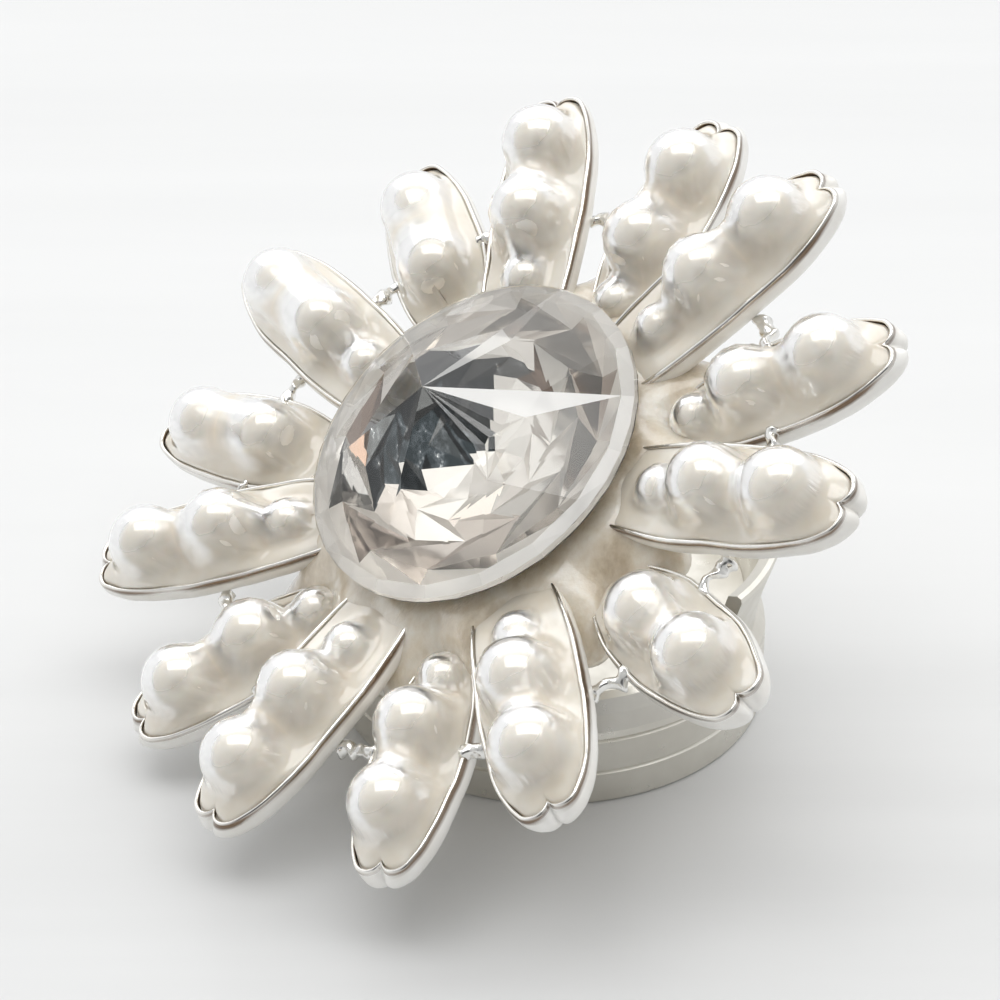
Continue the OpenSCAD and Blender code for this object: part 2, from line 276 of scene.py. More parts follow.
def make_cup_silver():
    """Bright silver plate with soft dents and a milky film down the outside. Its lip is dark brown: tarnish,
    with a painted dark reflection just under the lip and painted shade in the gap between lip and resin at the
    tip.
    """
    s = Shader("cup_silver", Metallic=1.0, Coat_Weight=0.25, Coat_Roughness=0.1)
    plate = s.ramp(s.noise(900, 3), [(0.3, (0.88, 0.86, 0.81)), (0.7, (0.97, 0.96, 0.93))])
    milky = s.ramp(s.noise(500, 4), [(0.3, (0.86, 0.835, 0.78)), (0.7, (0.95, 0.94, 0.91))])
    film, edge = s.attribute("film"), s.attribute("edge")
    colour = s.mix(film, plate, milky)
    # Dark brown at the lip: tarnish together with a painted dark reflection and painted shade
    s.feed("Base Color", s.mix(edge, colour, (0.19, 0.13, 0.085)))
    s.feed("Metallic", s.range(film, 1.0, 0.15))
    s.feed("Roughness", s.range(film, 0.10, 0.34))
    dents = s.bump(s.noise(420, 2), 0.35, 0.00012)
    s.bump(s.noise(5000, 4, stretch=(1, 1, 0.3)), 0.12, 0.00001, dents)
    return s.material


def make_resin():
    """Glossy resin over the pearls: clear where it is a thin skin, milky and warm where it lies deep."""
    s = Shader("clear_resin", IOR=1.42, Roughness=0.17, Coat_Weight=1.0, Coat_Roughness=0.04, Coat_IOR=1.5,
               Subsurface_Weight=0.25, Subsurface_Scale=0.0015, Subsurface_Radius=(1.0, 0.8, 0.6))
    deep = s.attribute("deep")
    cloud = s.ramp(s.noise(420, 3), [(0.3, (0.80, 0.715, 0.585)), (0.7, (0.905, 0.85, 0.745))])
    s.feed("Base Color", s.mix(deep, (0.975, 0.96, 0.925), cloud))
    s.feed("Transmission Weight", s.range(deep, 0.86, 0.10))
    s.bump(s.noise(700, 3), 0.20, 0.00005)
    return s.material


def make_tarnish():
    """Silver plate under a film of glue and resin, warm and dull."""
    s = Shader("tarnished_plate", Metallic=0.45, Coat_Weight=0.8, Coat_Roughness=0.15)
    s.feed("Base Color", s.ramp(s.noise(600, 4), [(0.3, (0.62, 0.53, 0.41)), (0.7, (0.84, 0.78, 0.68))]))
    s.feed("Roughness", s.range(s.noise(900, 4), 0.3, 0.6))
    return s.material


def make_pearl():
    """Imitation pearl: a layered ivory coating that mirrors softly, with faint clouds in it."""
    s = Shader("pearl", Roughness=0.20, Specular_IOR_Level=0.6, Coat_Weight=1.0, Coat_Roughness=0.04,
               Coat_IOR=1.5, Subsurface_Weight=0.2, Subsurface_Scale=0.0012,
               Subsurface_Radius=(1.0, 0.85, 0.7), Metallic=0.16, Sheen_Weight=0.15, Sheen_Roughness=0.4)
    cloud = s.ramp(s.noise(650, 3), [(0.3, (0.90, 0.85, 0.765)), (0.7, (0.95, 0.915, 0.85))])
    s.feed("Base Color", cloud)
    s.bump(s.noise(2600, 2), 0.06, 0.00003)
    return s.material


def make_crystal():
    """Clear glass, hazy on the bevel and on the facets that have lost their polish."""
    s = Shader("crystal", IOR=1.5, Base_Color=(0.99, 0.982, 0.955, 1))
    haze = s.attribute("haze")
    s.feed("Transmission Weight", s.range(haze, 1.0, 0.0))
    s.feed("Roughness", s.range(haze, 0.0, 0.35))
    return s.material


def make_foil():
    """Silver coating behind the stone. Its facets carry painted shade and painted reflection tones, darker or
    brownish facet by facet; the darkest are also scratched like worn foil.
    """
    s = Shader("foil", Metallic=1.0)
    scratch = s.noise(1500, 10, 0.75, (1, 0.35, 1))
    scratched_and_shaded = s.ramp(scratch, [(0.48, (0.012, 0.016, 0.018)), (0.58, (0.035, 0.042, 0.047)),
                            (0.635, (0.14, 0.15, 0.155)), (0.68, (0.80, 0.81, 0.80))])
    warm = s.mix(s.attribute("warm"), (1, 1, 1), (0.62, 0.45, 0.36))
    # The dark value lays painted shade and painted reflection on the foil, with scratches where it is worn
    tone = s.mix(s.attribute("dark"), (0.985, 0.968, 0.925), scratched_and_shaded)
    s.feed("Base Color", s.mix(1.0, tone, warm, "MULTIPLY"))
    s.feed("Metallic", s.range(s.attribute("frost"), 1.0, 0.0))
    s.feed("Roughness", s.range(s.attribute("frost"), 0.03, 0.30))
    return s.material


def make_glue():
    """Clear glue gone the colour of cream, with fine hairs and flow lines in it."""
    s = Shader("glue", IOR=1.46, Roughness=0.28, Coat_Weight=1.0, Coat_Roughness=0.06,
               Transmission_Weight=0.15, Subsurface_Weight=0.35, Subsurface_Scale=0.0015,
               Subsurface_Radius=(1.0, 0.8, 0.6))
    flow = s.noise(420, 6, 0.65, (1, 1, 0.5))
    hairs = s.noise(1500, 5, 0.6, (0.2, 1.2, 1))
    cream = s.ramp(flow, [(0.32, (0.52, 0.42, 0.29)), (0.48, (0.74, 0.645, 0.50)),
                          (0.68, (0.92, 0.865, 0.76))])
    s.feed("Base Color", cream)
    s.bump(hairs, 0.35, 0.00006, s.bump(flow, 0.5, 0.0002))
    return s.material


def make_clip_metal():
    """Satin plate on the jaws, with a fine grain drawn round the drum and small handling marks."""
    s = Shader("clip_metal", Metallic=1.0)
    s.feed("Base Color", s.ramp(s.noise(260, 4), [(0.3, (0.66, 0.635, 0.575)), (0.7, (0.77, 0.75, 0.69))]))
    s.feed("Roughness", s.range(s.noise(900, 5), 0.26, 0.42, 0.3, 0.7))
    grain = s.bump(s.noise(240, 5, stretch=(1, 1, 60)), 0.10, 0.00002)
    s.bump(s.noise(3000, 3), 0.05, 0.00001, grain)
    return s.material


def make_bright_metal(name, tone, smoothest, roughest):
    """Plain bright metal, a little cloudy in its colour and in its polish."""
    s = Shader(name, Metallic=1.0)
    dark = tuple(c * 0.88 for c in tone)
    s.feed("Base Color", s.ramp(s.noise(1100, 4), [(0.3, dark), (0.7, tone)]))
    s.feed("Roughness", s.range(s.noise(2200, 4), smoothest, roughest, 0.3, 0.7))
    s.bump(s.noise(3200, 4), 0.08, 0.00001)
    return s.material


SILVER = make_cup_silver()
RESIN = make_resin()
TARNISH = make_tarnish()
PEARL = make_pearl()
CRYSTAL = make_crystal()
FOIL = make_foil()
GLUE = make_glue()
CLIP = make_clip_metal()
STEEL = make_bright_metal("pin_steel", (0.86, 0.85, 0.84), 0.10, 0.22)
SOLDER = make_bright_metal("solder", (0.93, 0.92, 0.89), 0.06, 0.20)
SPRING = make_bright_metal("spring_steel", (0.62, 0.61, 0.60), 0.18, 0.30)


# ---------------------------------------------------------------- petal cups

CUP_HALF = 2.85           # widest half-width
WIDE_R = 16.0             # distance from the flower's axis at which a cup is widest
LOBE = (22.3, 1.55)       # the corner of one of the tip's two lobes
TIP_R = 22.72             # end of the tip low on the cup, where it is round
NOTCH_R = 22.2            # end of the tip at the rim, where it is pinched in
PINCH_DEPTH = 0.8         # how far below the rim the pinch has gone
BELLY = 0.09              # how far a cup's side swells out below its rim
BELLY_DEPTH = 1.5         # by this far below the rim the side has come back in
WALL = 0.24
RIM = -0.95               # level of the rim from the outer pearl's centre
DEPTH = 1.88              # of the cup, below its rim
CURVE_STEPS = 14          # points on each curved stretch of an outline
TIP_FROM = 19.5           # from here on, over this length, a cup turns into its tip
TIP_LENGTH = 1.6
STONE_ROOM_R = 10.2       # inside this radius a cup stays below this level, to clear the stone
STONE_ROOM_LEVEL = -1.95
STONE_ROOM_FADE = 0.5     # the limit sets in over this much of the radius

# How far a cup's outline is drawn in towards its middle line, at depths below the rim
OUTSIDE = ((0.0, 0.03), (0.0, 0.13), (0.0, 0.24), (0.0, 0.4), (0.0, 0.6), (0.005, 0.8), (0.03, 1.02),
           (0.08, 1.25), (0.17, 1.5), (0.30, 1.7), (0.47, 1.82), (0.7, DEPTH - 0.01), (1.0, DEPTH))
INSIDE = ((0.0, 0.06), (0.003, 0.25), (0.01, 0.5), (0.04, 0.75), (0.09, 1.0), (0.17, 1.2), (0.29, 1.38),
          (0.62, 1.48), (1.0, 1.5))


def tip_share(x):
    """0 along the cup, rising to 1 at its tip."""
    return clamp((x - TIP_FROM) / TIP_LENGTH)


def half_outline(upper, notch_r):
    """One side of a cup's outline, from its inner end to the middle of its tip."""
    inner_r, inner_half, swell = (7.7, 1.9, 2.65) if upper else (9.1, 0.75, 1.3)
    wide, notch = (WIDE_R, CUP_HALF), (notch_r, 0)
    side = [(inner_r, inner_half), (inner_r + 1.7, swell), (12.5, 1.02 * CUP_HALF), wide]
    shoulder = [wide, (WIDE_R + 2.7, CUP_HALF), (20.9, 2.5), LOBE]
    lobe = [LOBE, (22.75, 1.22), (notch_r + 0.75, 0.35), notch]
    return [point for stretch in (side, shoulder, lobe) for point in bezier(stretch, CURVE_STEPS)] + [notch]


def closed_outline(upper, notch_r):
    half = half_outline(upper, notch_r)
    inner_r, inner_half = half[0]
    side = [(inner_r, inner_half * share) for share in (0.0, 0.5)] + half
    return [(x, -y) for x, y in side] + [(x, y) for x, y in reversed(side[1:-1])]


def outline(petal, level=RIM):
    """The cup's outline at one level, slightly uneven: pinched in at the rim's tip and round further down."""
    down = RIM - level
    pinch = smoothstep(clamp(1.0 - down / PINCH_DEPTH))
    belly = BELLY * math.sin(math.pi * clamp(down / BELLY_DEPTH))
    out = []
    for x, y in closed_outline(petal.upper, TIP_R + (NOTCH_R - TIP_R) * pinch):
        n = noise.noise(Vector((x * 0.35, y * 0.35, petal.seed + down * 0.15)))
        fine = noise.noise(Vector((x * 1.3, y * 1.3, petal.seed + down * 0.6)))
        out.append((x + 0.10 * n + 0.02 * fine, y * (1 + 0.035 * n + belly / CUP_HALF) + 0.03 * fine))
    return out


def ring_at(petal, pull, level):
    """The outline at one level, drawn in by a share pull towards the cup's middle line."""
    line_start = 8.6 if petal.upper else 9.8
    line_end = TIP_R - 2.6
    ring = []
    for x, y in outline(petal, level):
        middle_x = min(max(x, line_start), line_end)
        ring.append((x + (middle_x - x) * pull, y - y * pull, level))
    return ring


def under_stone(petal, point):
    """A point of a petal, placed in the scene and kept below the stone."""
    p = petal.place(*point)
    d = p - CENTRE
    height = d.dot(AXIS) / MM
    radius = (d - AXIS * d.dot(AXIS)).length / MM
    if height > STONE_ROOM_LEVEL and radius < STONE_ROOM_R:
        fade = clamp((STONE_ROOM_R - radius) / STONE_ROOM_FADE)
        p = p - AXIS * ((height - STONE_ROOM_LEVEL) * fade * MM)
    return p


def build_cup(k):
    petal = PETAL[k]
    inset = WALL / CUP_HALF
    lip = [(0.02, RIM + 0.03), (0.5 * inset, RIM + 0.05), (0.85 * inset, RIM + 0.02)]
    profile = ([(pull, RIM - down) for pull, down in reversed(OUTSIDE)] + lip
               + [(inset + (1 - inset) * pull, RIM - down) for pull, down in INSIDE])
    rings = [[under_stone(petal, p) for p in ring_at(petal, pull, level)] for pull, level in profile]
    verts, faces = loft(rings)
    obj = add_object(f"cup_{k:02d}", verts, faces, SILVER, FLOWER)
    under_lip, over_lip = len(OUTSIDE) - 1, len(OUTSIDE) + len(lip)
    shape = outline(petal)
    edge, film = [], []
    for row in range(len(rings)):
        for x, y in shape:
            patch = noise.noise(Vector((x * 0.28, y * 0.5, petal.seed + 3)))
            tip = tip_share(x)
            # Brown by ring at the lip: outside, just under the lip, tarnish with a painted dark reflection;
            # inside, toward the tip, painted shade in the gap between lip and resin
            tarnish_and_shade = {under_lip: 0.5 + patch,
                       under_lip - 1: 0.95 + 1.6 * patch,
                       under_lip - 2: 0.35 + 1.6 * patch,
                       over_lip: 0.5 + tip + patch,
                       over_lip + 1: 0.2 + tip * (0.9 + patch),
                       over_lip + 2: tip * (0.7 + patch)}
            edge.append(clamp(tarnish_and_shade.get(row, 0.0)))
            film.append(0.95 if row < under_lip - 1 else 0.0)
    set_values(obj, "POINT", "edge", edge)
    set_values(obj, "POINT", "film", film)
    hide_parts(f"petal_cup_{k:02d}")


# ---------------------------------------------------------------- resin and pearls

FULL_CUPS = (12, 13, 14)  # cups whose resin hides the waist between the two large pearls
BODY_R = 1.92             # radius of the resin's body over the row of large pearls
BODY_WAIST = 0.70         # how far the body is drawn in between those pearls, in the other cups
BODY_SLOPE = 1.6          # how steeply it falls away at its sides
BODY_FILLET = 0.35
SKIN = 0.07               # thickness of the resin over a pearl
SKIN_SLOPE = 2.6          # how steeply the skin leaves a pearl
SKIN_FILLET = 2.2         # between two pearls
POOL_FILLET = 1.1         # between the pearls and the pool round them
CLEAR_SHARE = 0.62        # the resin is clear out to this share of a pearl's radius, then gets deeper
DEEPENING = 0.6
RESIN_STEPS = 30          # rings of the resin's skin, from the cup's wall to its middle line
FAR_BELOW = -9.0          # a level below everything in a petal


def smooth_max(a, b, k):
    """The larger of two heights, with a fillet of size k where they meet."""
    h = max(k - abs(a - b), 0.0) / k
    return max(a, b) + h * h * k * 0.25


def dome(centre_z, radius, away, slope):
    """Height of a ball of resin at a distance from its middle. Outside the ball it falls away evenly."""
    if away < radius:
        return centre_z + math.sqrt(radius * radius - away * away)
    return centre_z - slope * (away - radius)


def resin_body(petal, x, y):
    """Height of a rounded body of resin that runs over the two large pearls."""
    outer, inner = (petal.local(centre) for centre, _ in petal.balls[:2])
    along = clamp((outer.x - x) / (outer.x - inner.x))
    spine_x = outer.x + (inner.x - outer.x) * along
    spine_z = outer.z + (inner.z - outer.z) * along
    waist = (0.0 if petal.k in FULL_CUPS else BODY_WAIST) * math.sin(math.pi * along) ** 2
    return dome(spine_z, BODY_R - waist, math.hypot(x - spine_x, y), BODY_SLOPE)


def resin_skin(petal, x, y, wall_share):
    """Height of the resin's skin, a pool that is domed over the pearls, and how deep the resin lies there."""
    # The pool is a little wavy, and lower against the cup's wall, most of all in the tip
    pool = RIM - 0.02 + 0.10 * noise.noise(Vector((x * 0.5, y * 0.5, petal.k * 7.0)))
    tip = tip_share(x) * max(0.0, 0.6 + noise.noise(Vector((x, y, petal.k * 3.0))))
    pool -= (0.06 + 0.32 * tip) * math.exp(-wall_share / 0.05)
    domes, deep = FAR_BELOW, 1.0
    for centre, radius in petal.balls:
        c = petal.local(centre)
        skin = radius / MM + SKIN
        away = math.hypot(x - c.x, y - c.y)
        domes = smooth_max(domes, dome(c.z, skin, away, SKIN_SLOPE), SKIN_FILLET)
        deep = min(deep, max(0.0, (away - CLEAR_SHARE * skin) / (DEEPENING * skin)))
    domes = smooth_max(domes, resin_body(petal, x, y), BODY_FILLET)
    return smooth_max(pool, domes, POOL_FILLET), smoothstep(deep)


def build_resin(k):
    petal = PETAL[k]
    inset = WALL / CUP_HALF + 0.004
    skin_rings, skin_depths = [], []
    for r in range(RESIN_STEPS + 1):
        share = r / RESIN_STEPS
        ring, depths = [], []
        for x, y, _ in ring_at(petal, inset + (1 - inset) * share, RIM):
            level, deep = resin_skin(petal, x, y, share)
            ring.append(under_stone(petal, (x, y, level)))
            depths.append(deep)
        skin_rings.insert(0, ring)
        skin_depths = depths + skin_depths
    below = []
    for pull, down in INSIDE[1:]:
        floor_ring = ring_at(petal, inset + 0.01 + (0.99 - inset) * pull, RIM - down + 0.02)
        below.append([under_stone(petal, p) for p in floor_ring])
    verts, faces = loft(skin_rings + below)
    obj = add_object(f"resin_fill_{k:02d}", verts, faces, RESIN, FLOWER)
    set_values(obj, "POINT", "deep", skin_depths + [1.0] * (len(verts) - len(skin_depths)))
    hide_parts(f"resin_{k:02d}")


def ball_mesh(centre, radius, seed, rings=28, sides=48):
    """A ball that is very slightly out of round."""
    def point(turn, tilt):
        d = Vector((math.sin(tilt) * math.cos(turn), math.sin(tilt) * math.sin(turn), math.cos(tilt)))
        return centre + d * radius * (1 + 0.006 * noise.noise(d * 1.3 + Vector((seed, 0, 0))))
    return loft([[point(2 * math.pi * s / sides, math.pi * r / rings) for s in range(sides)]
                 for r in range(rings + 1)])


def build_pearls(k):
    verts, faces = [], []
    for i, (centre, radius) in enumerate(PETAL[k].balls):
        add_part(verts, faces, ball_mesh(centre, radius, 10 * k + i))
    obj = add_object(f"pearl_group_{k:02d}", verts, faces, PEARL, FLOWER)
    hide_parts(f"pearls_{k:02d}")


for petal_number in range(1, PETALS + 1):
    build_cup(petal_number)
    build_resin(petal_number)
    build_pearls(petal_number)


# ---------------------------------------------------------------- the stone

# Heights are taken from the plane of the upper petals' outer pearls
STONE_POINTS = [v.co for v in NODE["stone"].data.vertices]
STONE_HEIGHTS = [(p - CENTRE).dot(AXIS) for p in STONE_POINTS]
STONE_TOP = STONE_POINTS[STONE_HEIGHTS.index(max(STONE_HEIGHTS))]
TOP_H = max(STONE_HEIGHTS) / MM
BOTTOM_H = min(STONE_HEIGHTS) / MM
# The stone's axis stands a little off the flower's
STONE_SHIFT = (STONE_TOP - CENTRE) - AXIS * (STONE_TOP - CENTRE).dot(AXIS)
STONE_R = 9.0             # radii on the stone are drawn for this size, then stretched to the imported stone's
STRETCH = max((p - STONE_TOP).cross(AXIS).length for p in STONE_POINTS) / (STONE_R * MM)
EAST = SPOKES[0].normalized()           # the first petal's direction, from which turns are counted
NORTH = AXIS.cross(EAST)

MAINS = 6                 # main facets round the point
STEP = 360 / MAINS
FIRST_RIDGE = -81.0       # turn of one ridge from the first petal
INNER_R, INNER_H = 5.1, 1.92            # outer corners of the main facets
MIDDLE_R, MIDDLE_H = 6.6, 1.02          # corners of the broken facets, halfway between those
RIM_R, RIM_H = 8.45, 0.08               # where the front facets meet the bevelled edge
GIRDLE_TOP = -0.22
GIRDLE_LOW = -0.68
BACK_R, BACK_H = 5.3, -1.86             # corners of the facets on the back
GLINT = (4.5, -97.7)      # radius and turn of the corner of the narrow bright facet beside the first ridge
SECOND_GLINT = (4.75, -31)
SCRATCHES = ((3.4, -134), (3.7, -128), (3.6, -122), (3.9, -116), (3.7, -109))
# Haze of the first two faces at a glint's corner, and of some of the faces that fan out to the scratches
GLINT_HAZE = (0.85, 0.8)
SECOND_GLINT_HAZE = (0.38, 0.12)
SCRATCH_HAZE = {1: 0.10, 3: 0.16, 4: 0.05}


def stone_point(radius, degrees, height):
    a = math.radians(degrees)
    out = EAST * math.cos(a) + NORTH * math.sin(a)
    return CENTRE + STONE_SHIFT + out * radius * STRETCH * MM + AXIS * height * MM


def ring_points(count, radius, height, turn):
    return [stone_point(radius, turn + 360 * i / count, height) for i in range(count)]


def glint_corners():
    """Corners of the two narrow facets and of the scratches, each a hair off the main facet it lies on."""
    reach = INNER_R * math.cos(math.radians(STEP / 2))
    drop = TOP_H - INNER_H
    corners = []
    for n, (radius, degrees) in enumerate((GLINT,) + SCRATCHES + (SECOND_GLINT,)):
        facet_turn = FIRST_RIDGE + STEP / 2 * (1 if degrees > FIRST_RIDGE else -1)
        share = radius * math.cos(math.radians(degrees - facet_turn)) / reach
        corners.append(stone_point(radius, degrees, TOP_H - drop * share + (0.035 if n % 2 else -0.02)))
    return corners


def build_stone():
    """A round stone with a pointed front: six main facets, broken facets round them and a bevelled girdle."""
    rim_count, edge_count, back_count = 3 * MAINS, 6 * MAINS, 2 * MAINS
    rings = (ring_points(MAINS, INNER_R, INNER_H, FIRST_RIDGE),
             ring_points(MAINS, MIDDLE_R, MIDDLE_H, FIRST_RIDGE + STEP / 2),
             ring_points(rim_count, RIM_R, RIM_H, FIRST_RIDGE),
             ring_points(edge_count, STONE_R, GIRDLE_TOP, FIRST_RIDGE),
             ring_points(edge_count, STONE_R, GIRDLE_LOW, FIRST_RIDGE),
             ring_points(back_count, BACK_R, BACK_H, FIRST_RIDGE + STEP / 4))
    verts = [stone_point(0, 0, TOP_H)] + [p for ring in rings for p in ring] + [stone_point(0, 0, BOTTOM_H)]
    inner = 1             # each name is the number of its ring's first vertex
    middle = inner + MAINS
    rim = middle + MAINS
    top = rim + rim_count
    low = top + edge_count
    back = low + edge_count
    bottom = back + back_count
    glint = bottom + 1
    second_glint = glint + len(SCRATCHES) + 1
    verts += glint_corners()
    faces, haze = [], {}
    for i in range(MAINS):
        a, b, m = inner + i, inner + (i + 1) % MAINS, middle + i
        rims = [rim + (3 * i + n) % rim_count for n in range(4)]
        if 0 < i < MAINS - 1:
            faces += [(0, a, b), (a, m, b), (m, rims[2], b), (b, rims[2], rims[3])]
        else:
            if i == 0:
                q, q_haze = second_glint, SECOND_GLINT_HAZE
                faces.append((0, a, q))
            else:
                q, q_haze = glint, GLINT_HAZE
                fan = [a] + [glint + 1 + n for n in range(len(SCRATCHES))] + [glint]
                haze.update({len(faces) + n: value for n, value in SCRATCH_HAZE.items()})
                faces += [(0, fan[n], fan[n + 1]) for n in range(len(SCRATCHES) + 1)]
                faces += [(a, fan[2], fan[1]), (a, fan[3], fan[2]), (a, q, fan[3]), (q, fan[4], fan[3]),
                          (q, fan[5], fan[4])]
            haze.update({len(faces): q_haze[0], len(faces) + 1: q_haze[1]})
            faces += [(0, q, b), (q, rims[3], b), (a, m, q), (q, m, rims[2]), (q, rims[2], rims[3])]
        faces += [(a, rims[0], rims[1]), (a, rims[1], m), (m, rims[1], rims[2])]
    for i in range(rim_count):
        a, b = rim + i, rim + (i + 1) % rim_count
        edge = [top + (2 * i + n) % edge_count for n in range(3)]
        side = math.cos(math.radians(i * 360 / rim_count + 60))
        haze.update({len(faces) + n: max(0.02, 0.14 + 0.36 * side) for n in range(3)})
        faces += [(a, edge[0], edge[1]), (a, edge[1], b), (b, edge[1], edge[2])]
    for i in range(edge_count):
        j = (i + 1) % edge_count
        faces.append((top + i, low + i, low + j, top + j))
    for i in range(back_count):
        a, b = back + i, back + (i + 1) % back_count
        g = [low + (3 * i + n) % edge_count for n in range(4)]
        faces += [(a, g[1], g[0]), (a, g[2], g[1]), (a, g[3], g[2]), (a, b, g[3]), (bottom, b, a)]
    obj = add_object("crystal_stone", verts, faces, CRYSTAL, FLOWER, smooth=False)
    set_values(obj, "FACE", "haze", [haze.get(i, 0.0) for i in range(len(faces))])
    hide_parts("stone")


# ---------------------------------------------------------------- the foil behind the stone

# Foil facets that are not plain bright silver, toned with painted shade and painted reflection (the darkest
# also worn and scratched): turn from, turn to, radius from, radius to, darkness, warmth
SHADED_AND_WORN_FACETS = ((24, 114, 0, 5.4, 1.0, 0.0), (-20, 24, 2.7, 3.9, 0.95, 0.15), (-48, -20, 2.7, 4.2, 0.72, 1.0),
        (104, 126, 5.3, 7.2, 0.8, 0.1), (68, 84, 5.3, 6.4, 0.45, 1.0), (114, 146, 2.2, 5.3, 0.0, 0.22),
        (134, 152, 5.3, 7.2, 0.45, 0.5), (152, 172, 5.3, 7.2, 0.30, 0.25), (184, 206, 3.2, 7.2, 0.10, 0.3),
        (222, 250, 3.2, 7.2, 0.12, 0.1), (274, 300, 5.3, 7.2, 0.10, 0.3), (300, 322, 5.3, 7.2, 0.08, 0.15),
        (-38, -4, 5.3, 7.2, 0.08, 0.2), (4, 84, 5.3, 7.2, 0.05, 0.15))
PLAIN = (0.0, 0.05)       # darkness and warmth of the others
FROSTED_FROM = 7.2        # outside this radius the coating is thin and milky
SECTORS = 2 * MAINS
# Rings of the foil's corners, from its edge inwards: radius, and points in each sector
FOIL_RINGS = ((8.94, 2), (7.9, 2), (6.9, 1), (BACK_R, 1), (3.9, 1), (2.7, 1))


def facet_shade_and_wear(radius, degrees):
    for start, end, low, high, dark, warm in SHADED_AND_WORN_FACETS:
        if low <= radius < high and (degrees - start) % 360 < end - start:
            return dark, warm
    return PLAIN


def foil_faces():
    """Triangles between the foil's rings. Every second band leans the other way."""
    starts = [SECTORS * sum(share for _, share in FOIL_RINGS[:n]) for n in range(len(FOIL_RINGS) + 1)]
    edge_count = 2 * SECTORS
    faces = []
    for i in range(edge_count):
        j = (i + 1) % edge_count
        faces += [(i, j, starts[1] + i), (starts[1] + i, j, starts[1] + j)]
    for i in range(SECTORS):
        j = (i + 1) % SECTORS
        outer = [starts[1] + (2 * i + n) % edge_count for n in range(3)]
        a, b = starts[2] + i, starts[2] + j
        faces += [(outer[0], outer[1], a), (a, outer[1], b), (outer[1], outer[2], b)]
        for n in (2, 3, 4):
            lead, follow = starts[n], starts[n + 1]
            if n % 2:
                faces += [(lead + i, lead + j, follow + i), (follow + i, lead + j, follow + j)]
            else:
                faces += [(lead + i, lead + j, follow + j), (lead + i, follow + j, follow + i)]
        faces.append((starts[5] + i, starts[5] + j, starts[6]))
    return faces


def build_foil():
    """The silver coating on the stone's back, a hair inside the glass: small mirrors, none quite alike."""
    draw = random.Random(7)
    outer_slope = (GIRDLE_LOW - BACK_H) / (STONE_R - BACK_R)
    core_slope = (BACK_H - BOTTOM_H) / BACK_R
    verts = []
    for n, (radius, share) in enumerate(FOIL_RINGS):
        level = BACK_H + (outer_slope if radius > BACK_R else core_slope) * (radius - BACK_R)
        turn = FIRST_RIDGE + STEP / 4 * (1 + n % 2)
        verts += [p + AXIS * draw.uniform(0.05, 0.15 if n else 0.06) * MM
                  for p in ring_points(share * SECTORS, radius, level, turn)]
    verts.append(stone_point(0, 0, BOTTOM_H + 0.06))
    faces = foil_faces()
    values = {"dark": [], "warm": [], "frost": []}
    for face in faces:
        away = sum((verts[v] for v in face), Vector()) / 3 - CENTRE - STONE_SHIFT
        east, north = (away.dot(side) / (STRETCH * MM) for side in (EAST, NORTH))
        radius = math.hypot(east, north)
        # Painted shade and painted reflection tone of this facet, with a little random spread
        dark, warm = facet_shade_and_wear(radius, math.degrees(math.atan2(north, east)))
        values["dark"].append(clamp(dark + draw.uniform(-0.06, 0.08)))
        values["warm"].append(warm + draw.uniform(0, 0.1))
        frosted = radius > FROSTED_FROM
        values["frost"].append(draw.uniform(0.5, 0.8) if frosted else draw.uniform(0.2, 0.5) * (1 - dark))
    obj = add_object("stone_mirror", verts, faces, FOIL, FLOWER, smooth=False)
    for name, numbers in values.items():
        set_values(obj, "FACE", name, numbers)
    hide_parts("stone_foil")


build_stone()
build_foil()


# ---------------------------------------------------------------- glue and solder

# The glue's section, from the axis over its top and back underneath: radius, level, and how far it spreads
# into the gaps between the petals
GLUE_SECTION = ((0.4, -3.35, 0), (4.0, -2.75, 0), (6.6, -2.05, 0), (7.9, -1.62, 0.2), (8.9, -1.95, 0.4),
                (9.8, -2.55, 0.7), (10.6, -3.15, 1), (11.5, -3.8, 1), (12.0, -4.4, 1), (11.6, -5.1, 0.8),
                (9.6, -5.55, 0.5), (6.0, -5.75, 0), (0.4, -5.8, 0))
GLUE_SIDES = 16 * PETALS
SOLDER_STEPS = 24         # along one bridge
SOLDER_SIDES = 20


def build_glue_pool():
    """Glue that has run out from under the stone, over the hub and in between the petals' inner ends."""
    half_way = GLUE_SIDES // 2
    rings = []
    for radius, level, spread in GLUE_SECTION:
        ring = []
        for i in range(GLUE_SIDES):
            degrees = 360 * i / GLUE_SIDES
            between = -math.cos(math.radians(degrees * PETALS))
            along = min(i, GLUE_SIDES - i) * 0.11
            n = noise.noise(Vector((radius * 0.35, along, level * 0.7 + (1 if i > half_way else 0))))
            out = radius + spread * (0.9 * between + 0.6 * n)
            ring.append(stone_point(out, degrees, level + 0.25 * spread * n) - STONE_SHIFT)
        rings.append(ring)
    verts, faces = loft(rings)
    obj = add_object("glue_pool", verts, faces, GLUE, FLOWER)
    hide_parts("stone_glue")


